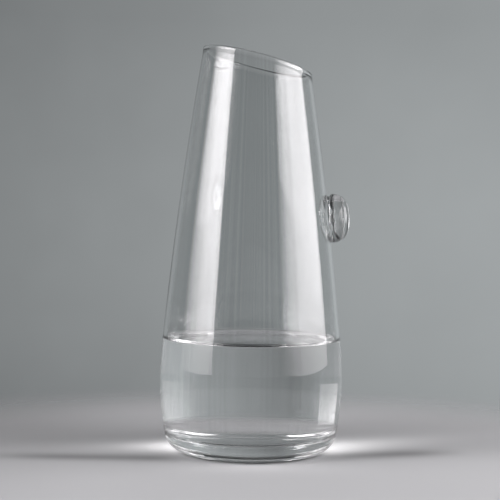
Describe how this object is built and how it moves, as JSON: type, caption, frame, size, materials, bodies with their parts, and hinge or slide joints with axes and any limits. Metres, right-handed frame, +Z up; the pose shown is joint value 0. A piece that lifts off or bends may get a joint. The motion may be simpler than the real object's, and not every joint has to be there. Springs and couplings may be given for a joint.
{
  "type": "water carafe",
  "caption": "Hand-blown clear glass water carafe with a tapering body, a thick base, a slanted mouth and a round thumb knob, partly filled with water.",
  "frame": {"origin": "centre of the resting ring under the base, on the plane that the carafe stands on", "axes": "+Z up along the carafe's axis, +X towards the knob and the low side of the mouth, -X towards the high side, which pours; the XZ plane is the plane of symmetry"},
  "size_m": [0.1211, 0.1176, 0.26],
  "materials": {
    "vessel": "clear colourless blown glass, fire-polished, smooth and glossy",
    "knob": "clear colourless glass, applied hot and pressed, smooth and glossy",
    "water": "clear still water"
  },
  "bodies": {
    "root": {"vessel": "vessel", "knob": "knob", "water": "water"}
  },
  "joints": []
}
